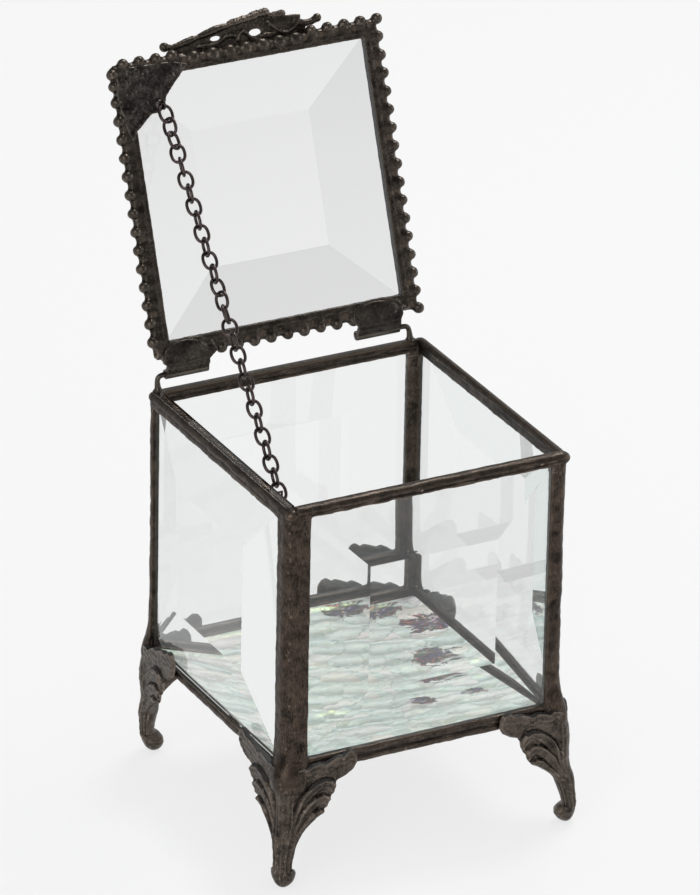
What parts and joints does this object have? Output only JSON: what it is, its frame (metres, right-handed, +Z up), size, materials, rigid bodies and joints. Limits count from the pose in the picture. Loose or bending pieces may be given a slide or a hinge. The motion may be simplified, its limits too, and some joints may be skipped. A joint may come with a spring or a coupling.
{
  "type": "casket box",
  "caption": "Square bevelled-glass casket box with soldered seams, hinged beaded lid with scroll ornament, check chain, iridescent base and four cast feet",
  "frame": {"origin": "middle of the ground rectangle under the whole piece with its lid open, between the four feet in X", "axes": "+X across the front to the viewer's right, +Y to the back, +Z up; the lid stands open as it rests against its chain"},
  "size_m": [0.0898, 0.1204, 0.1943],
  "materials": {
    "clear_glass": "polished, ground bevels",
    "iridescent_glass": "rippled, iridescent",
    "copper_foil": "darkened",
    "solder": "black patina, rubbed on the high parts",
    "cast_brass": "dark patina",
    "hinge_brass": "dark patina",
    "chain": "dark bronze"
  },
  "bodies": {
    "box": {"front_glass": "clear_glass", "back_glass": "clear_glass", "left_glass": "clear_glass", "right_glass": "clear_glass", "base_glass": "iridescent_glass", "front_foil": "copper_foil", "back_foil": "copper_foil", "left_foil": "copper_foil", "right_foil": "copper_foil", "base_foil": "copper_foil", "seam_front_left": "solder", "seam_front_right": "solder", "seam_back_left": "solder", "seam_back_right": "solder", "rim_front": "solder", "rim_back": "solder", "rim_left": "solder", "rim_right": "solder", "skirt_front": "solder", "skirt_back": "solder", "skirt_left": "solder", "skirt_right": "solder", "foot_front_left": "cast_brass", "foot_front_right": "cast_brass", "foot_back_left": "cast_brass", "foot_back_right": "cast_brass", "hinge_rod_left": "hinge_brass", "hinge_rod_right": "hinge_brass", "chain_eye_box": "hinge_brass"},
    "lid": {"lid_glass": "clear_glass", "lid_foil": "copper_foil", "lid_border_front": "solder", "lid_border_back": "solder", "lid_border_left": "solder", "lid_border_right": "solder", "beads_front": "solder", "beads_back": "solder", "beads_left": "solder", "beads_right": "solder", "lid_ornament": "cast_brass", "chain_plate": "hinge_brass", "chain_eye_lid": "hinge_brass", "hinge_leaf_left": "hinge_brass", "hinge_leaf_right": "hinge_brass"},
    "links_1": {"chain_1": "chain"},
    "links_2": {"chain_2": "chain"},
    "links_3": {"chain_3": "chain"},
    "links_4": {"chain_4": "chain"},
    "links_5": {"chain_5": "chain"},
    "links_6": {"chain_6": "chain"},
    "links_7": {"chain_7": "chain"},
    "links_8": {"chain_8": "chain"}
  },
  "joints": [
    {"name": "lid_hinge", "type": "hinge", "parent": "box", "child": "lid", "pos_m": [0, 0.02512, 0.1106], "axis": [1, 0, 0], "range_deg": [0, 110.7]},
    {"name": "chain_fold_1", "type": "hinge", "parent": "lid", "child": "links_1", "pos_m": [-0.02682, 0.04613, 0.17721], "axis": [1, 0, 0], "range_deg": [-65.75, 0]},
    {"name": "chain_fold_2", "type": "hinge", "parent": "links_1", "child": "links_2", "pos_m": [-0.02836, 0.03067, 0.16399], "axis": [1, 0, 0], "range_deg": [0, 7.38]},
    {"name": "chain_fold_3", "type": "hinge", "parent": "links_2", "child": "links_3", "pos_m": [-0.02979, 0.01637, 0.15176], "axis": [1, 0, 0], "range_deg": [0, 9.21]},
    {"name": "chain_fold_4", "type": "hinge", "parent": "links_3", "child": "links_4", "pos_m": [-0.03073, 0.00686, 0.14363], "axis": [1, 0, 0], "range_deg": [0, 56.77]},
    {"name": "chain_fold_5", "type": "hinge", "parent": "links_4", "child": "links_5", "pos_m": [-0.03133, 0.00091, 0.13853], "axis": [1, 0, 0], "range_deg": [0, 63.03]},
    {"name": "chain_fold_6", "type": "hinge", "parent": "links_5", "child": "links_6", "pos_m": [-0.03192, -0.00504, 0.13344], "axis": [1, 0, 0], "range_deg": [0, 49.5]},
    {"name": "chain_fold_7", "type": "hinge", "parent": "links_6", "child": "links_7", "pos_m": [-0.03275, -0.01339, 0.1263], "axis": [1, 0, 0], "range_deg": [0, 15.09]},
    {"name": "chain_fold_8", "type": "hinge", "parent": "links_7", "child": "links_8", "pos_m": [-0.03394, -0.0253, 0.11612], "axis": [1, 0, 0], "range_deg": [0, 9.54]}
  ],
  "couplings": [
    {"joint": "chain_fold_1", "follows": "lid_hinge", "ratio": -0.58939},
    {"joint": "chain_fold_2", "follows": "lid_hinge", "ratio": 0.062129},
    {"joint": "chain_fold_3", "follows": "lid_hinge", "ratio": 0.078725},
    {"joint": "chain_fold_4", "follows": "lid_hinge", "ratio": 0.50832},
    {"joint": "chain_fold_5", "follows": "lid_hinge", "ratio": 0.56484},
    {"joint": "chain_fold_6", "follows": "lid_hinge", "ratio": 0.44266},
    {"joint": "chain_fold_7", "follows": "lid_hinge", "ratio": 0.13179},
    {"joint": "chain_fold_8", "follows": "lid_hinge", "ratio": 0.081622}
  ]
}
